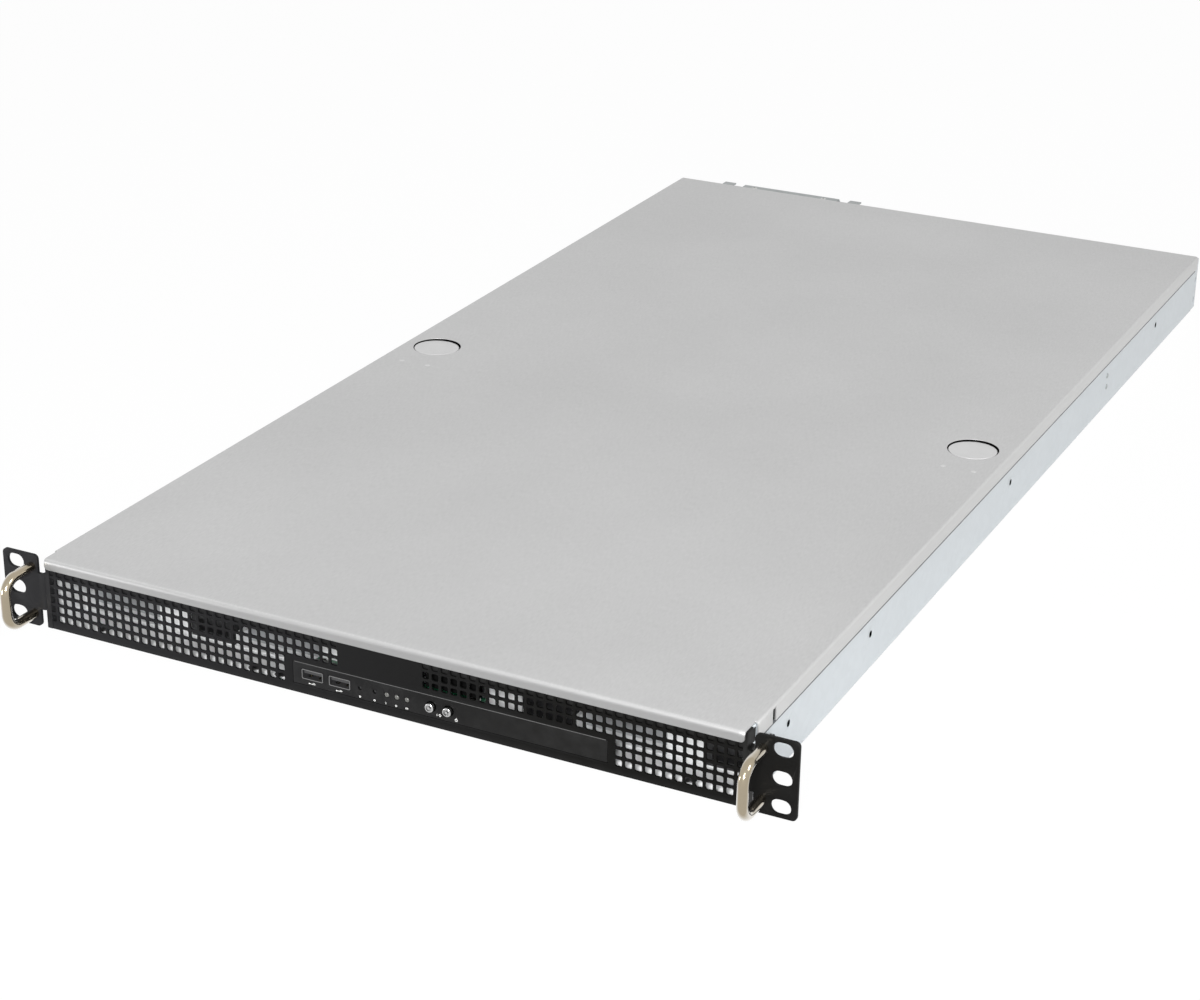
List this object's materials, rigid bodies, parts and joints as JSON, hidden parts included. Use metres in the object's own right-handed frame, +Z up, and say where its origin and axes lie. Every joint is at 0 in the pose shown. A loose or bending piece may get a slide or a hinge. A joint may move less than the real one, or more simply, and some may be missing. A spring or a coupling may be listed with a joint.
{
  "type": "1u rack server",
  "caption": "Flat steel rack server with a square-holed black front grille, ears with rod handles, a sliding top cover and drives inside.",
  "frame": {"origin": "centre of the four outer ear slots, on the back face of the ears, which is the rack's mounting plane", "axes": "+Y to the rear of the server, +Z up, +X to the right seen from the front"},
  "size_m": [0.4826, 0.8805, 0.0441],
  "materials": {
    "galvanised_sheet": "bright galvanised sheet",
    "black_sheet": "fine black powder coat",
    "cover_sheet": "matt zinc-coated sheet",
    "plated_rod": "bright nickel plate",
    "drive_case": "cast aluminium",
    "black_plastic": "moulded",
    "clear_plastic": "clear moulded",
    "circuit_board": "solder mask",
    "cooler": "extruded",
    "screw": "zinc",
    "black_screw": "black oxide",
    "button_metal": "plated"
  },
  "bodies": {
    "chassis": {"board_standoffs": "screw", "carrier_levers": "black_plastic", "case_screws": "screw", "chassis_tray": "galvanised_sheet", "display_port": "galvanised_sheet", "drive_backplanes": "circuit_board", "drive_carriers": "galvanised_sheet", "ear_left": "black_sheet", "ear_right": "black_sheet", "ear_screws": "black_screw", "expansion_cover": "galvanised_sheet", "fan_cage": "galvanised_sheet", "fan_frames": "black_plastic", "front_cross_member": "black_sheet", "front_input_board": "circuit_board", "front_panel": "black_sheet", "front_sockets": "galvanised_sheet", "handle_left": "plated_rod", "handle_right": "plated_rod", "handle_screws": "screw", "hard_drive_1_1": "drive_case", "hard_drive_1_2": "drive_case", "hard_drive_1_3": "drive_case", "hard_drive_1_4": "drive_case", "hard_drive_2_1": "drive_case", "hard_drive_2_2": "drive_case", "hard_drive_2_3": "drive_case", "hard_drive_2_4": "drive_case", "hard_drive_3_1": "drive_case", "hard_drive_3_2": "drive_case", "hard_drive_3_3": "drive_case", "hard_drive_3_4": "drive_case", "input_plate": "black_sheet", "light_pipes": "clear_plastic", "mains_inlet": "black_plastic", "memory_modules": "circuit_board", "motherboard": "circuit_board", "network_jacks": "galvanised_sheet", "port_shield": "galvanised_sheet", "processor_cooler": "cooler", "push_switches": "black_plastic", "rear_panel": "galvanised_sheet", "rear_sockets": "galvanised_sheet", "rear_strip": "galvanised_sheet", "supply_board": "circuit_board", "supply_case": "galvanised_sheet", "supply_fan_frame": "black_plastic"},
    "cover": {"top_cover": "cover_sheet"},
    "release_left": {"release_button_left": "cover_sheet"},
    "release_right": {"release_button_right": "cover_sheet"},
    "locator_press": {"locator_button": "button_metal"},
    "power_press": {"power_button": "button_metal"},
    "reset_press": {"reset_plunger": "black_plastic"},
    "service_press": {"service_plunger": "black_plastic"},
    "supply_fan": {"supply_fan_rotor": "black_plastic"},
    "fan_1": {"fan_rotor_1": "black_plastic"},
    "fan_2": {"fan_rotor_2": "black_plastic"},
    "fan_3": {"fan_rotor_3": "black_plastic"},
    "fan_4": {"fan_rotor_4": "black_plastic"},
    "fan_5": {"fan_rotor_5": "black_plastic"}
  },
  "joints": [
    {"name": "cover_slide", "type": "slide", "parent": "chassis", "child": "cover", "axis": [0, -1, 0], "range_m": [0, 0.012]},
    {"name": "release_left_press", "type": "hinge", "parent": "cover", "child": "release_left", "pos_m": [-0.1905, 0.364, 0.01963], "axis": [-1, 0, 0], "range_deg": [0, 4], "stiffness_Nm_per_rad": 4.5},
    {"name": "release_right_press", "type": "hinge", "parent": "cover", "child": "release_right", "pos_m": [0.1905, 0.364, 0.01963], "axis": [-1, 0, 0], "range_deg": [0, 4], "stiffness_Nm_per_rad": 4.5},
    {"name": "locator_travel", "type": "slide", "parent": "chassis", "child": "locator_press", "axis": [0, 1, 0], "range_m": [0, 0.0008], "stiffness_N_per_m": 900},
    {"name": "power_travel", "type": "slide", "parent": "chassis", "child": "power_press", "axis": [0, 1, 0], "range_m": [0, 0.0008], "stiffness_N_per_m": 900},
    {"name": "reset_travel", "type": "slide", "parent": "chassis", "child": "reset_press", "axis": [0, 1, 0], "range_m": [0, 0.0004], "stiffness_N_per_m": 900},
    {"name": "service_travel", "type": "slide", "parent": "chassis", "child": "service_press", "axis": [0, 1, 0], "range_m": [0, 0.0004], "stiffness_N_per_m": 900},
    {"name": "fan_1_spin", "type": "hinge", "parent": "chassis", "child": "fan_1", "pos_m": [-0.136, 0.53, -0.00093], "axis": [0, 1, 0], "continuous": true},
    {"name": "fan_2_spin", "type": "hinge", "parent": "chassis", "child": "fan_2", "pos_m": [-0.068, 0.53, -0.00093], "axis": [0, 1, 0], "continuous": true},
    {"name": "fan_3_spin", "type": "hinge", "parent": "chassis", "child": "fan_3", "pos_m": [0, 0.53, -0.00093], "axis": [0, 1, 0], "continuous": true},
    {"name": "fan_4_spin", "type": "hinge", "parent": "chassis", "child": "fan_4", "pos_m": [0.068, 0.53, -0.00093], "axis": [0, 1, 0], "continuous": true},
    {"name": "fan_5_spin", "type": "hinge", "parent": "chassis", "child": "fan_5", "pos_m": [0.136, 0.53, -0.00093], "axis": [0, 1, 0], "continuous": true},
    {"name": "supply_fan_spin", "type": "hinge", "parent": "chassis", "child": "supply_fan", "pos_m": [-0.146, 0.822, -0.00063], "axis": [0, 1, 0], "continuous": true}
  ]
}
